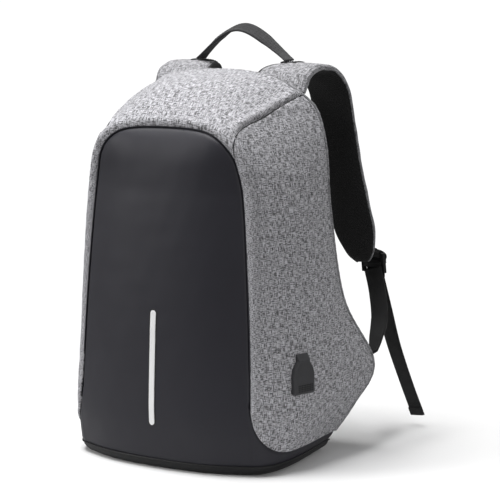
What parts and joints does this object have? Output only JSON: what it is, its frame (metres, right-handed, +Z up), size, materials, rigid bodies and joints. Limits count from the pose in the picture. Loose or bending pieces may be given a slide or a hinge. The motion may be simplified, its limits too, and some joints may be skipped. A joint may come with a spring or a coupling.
{
  "type": "backpack",
  "caption": "Anti-theft laptop backpack with a rear-opening padded shell, hinged back panel, shoulder straps, carry handle and side charging port.",
  "frame": {"origin": "centre of the base's flat face, on the floor", "axes": "+Z up, -Y out of the front panel, +X towards the side with the charging port"},
  "size_m": [0.3588, 0.3521, 0.5013],
  "materials": {
    "coated_cloth": "coated polyester cloth, low sheen",
    "melange_cloth": "grey melange polyester with a visible weave",
    "foam": "closed-cell foam sheet",
    "stiffener": "stiffening board",
    "air_mesh": "black spacer mesh over foam",
    "piping_cloth": "cloth-covered piping cord",
    "reflective_film": "silver reflective film",
    "webbing": "woven webbing and tape",
    "port_plastic": "moulded, fine matte",
    "nickel": "nickel-plated shell",
    "white_plastic": "moulded insulator",
    "lining": "smooth lining cloth",
    "buckle_plastic": "moulded acetal",
    "zip_metal": "black-coated zinc"
  },
  "bodies": {
    "shell": {"front_panel": "coated_cloth", "front_foam": "foam", "crown_panel": "melange_cloth", "crown_foam": "foam", "side_panel_left": "melange_cloth", "side_panel_right": "melange_cloth", "side_foam_left": "foam", "side_foam_right": "foam", "base_wrap_left": "coated_cloth", "base_wrap_right": "coated_cloth", "base_panel": "coated_cloth", "base_board": "stiffener", "lower_back_panel": "air_mesh", "front_piping": "piping_cloth", "base_piping": "coated_cloth", "reflective_strip": "reflective_film", "strip_surround": "webbing", "usb_housing": "port_plastic", "usb_socket": "nickel", "usb_tongue": "white_plastic", "usb_backplate": "port_plastic", "power_bank_pocket": "lining", "organiser_pocket": "lining", "zip_tape_shell": "webbing", "wing_tab_left": "webbing", "wing_tab_right": "webbing"},
    "back": {"back_panel": "air_mesh", "back_board": "stiffener", "back_pad_left": "air_mesh", "back_pad_right": "air_mesh", "lumbar_pad": "air_mesh", "zip_tape_back": "webbing", "laptop_sleeve": "lining", "sleeve_strap": "webbing", "luggage_strap": "webbing", "strap_root_left": "melange_cloth", "strap_root_right": "melange_cloth", "handle_patch_left": "webbing", "handle_patch_right": "webbing"},
    "handle": {"carry_handle": "webbing", "handle_grip": "webbing"},
    "strap_left": {"strap_cover_left": "melange_cloth", "strap_mesh_left": "air_mesh", "strap_webbing_left": "webbing", "buckle_loop_left": "webbing"},
    "strap_right": {"strap_cover_right": "melange_cloth", "strap_mesh_right": "air_mesh", "strap_webbing_right": "webbing", "buckle_loop_right": "webbing"},
    "buckle_left": {"ladder_lock_left": "buckle_plastic", "strap_tail_left": "webbing"},
    "buckle_right": {"ladder_lock_right": "buckle_plastic", "strap_tail_right": "webbing"},
    "slider": {"zip_slider": "zip_metal"},
    "pull": {"zip_pull": "buckle_plastic"}
  },
  "joints": [
    {"name": "back_opening", "type": "hinge", "parent": "shell", "child": "back", "pos_m": [0, 0.135, 0.102], "axis": [-1, 0, 0], "range_deg": [0, 90]},
    {"name": "handle_lean", "type": "hinge", "parent": "back", "child": "handle", "pos_m": [0, 0.112, 0.4573], "axis": [1, 0, 0], "range_deg": [-25, 25], "stiffness_Nm_per_rad": 0.05},
    {"name": "strap_swing_left", "type": "hinge", "parent": "back", "child": "strap_left", "pos_m": [-0.075, 0.112, 0.449], "axis": [0.2425, -0.0761, 0.9672], "range_deg": [-25, 25]},
    {"name": "strap_swing_right", "type": "hinge", "parent": "back", "child": "strap_right", "pos_m": [0.075, 0.112, 0.449], "axis": [0.2425, 0.0761, -0.9672], "range_deg": [-25, 25]},
    {"name": "buckle_tilt_left", "type": "hinge", "parent": "strap_left", "child": "buckle_left", "pos_m": [-0.12, 0.218, 0.217], "axis": [0.9848, 0.1736, 0], "range_deg": [0, 35]},
    {"name": "buckle_tilt_right", "type": "hinge", "parent": "strap_right", "child": "buckle_right", "pos_m": [0.12, 0.218, 0.217], "axis": [0.9848, -0.1736, 0], "range_deg": [0, 35]},
    {"name": "zip_run", "type": "slide", "parent": "back", "child": "slider", "axis": [0.1348, -0.0147, -0.9908], "range_m": [0, 0.11]},
    {"name": "pull_flip", "type": "hinge", "parent": "slider", "child": "pull", "pos_m": [0.11493, 0.08187, 0.38811], "axis": [0.9909, 0, 0.1348], "range_deg": [0, 150]}
  ]
}
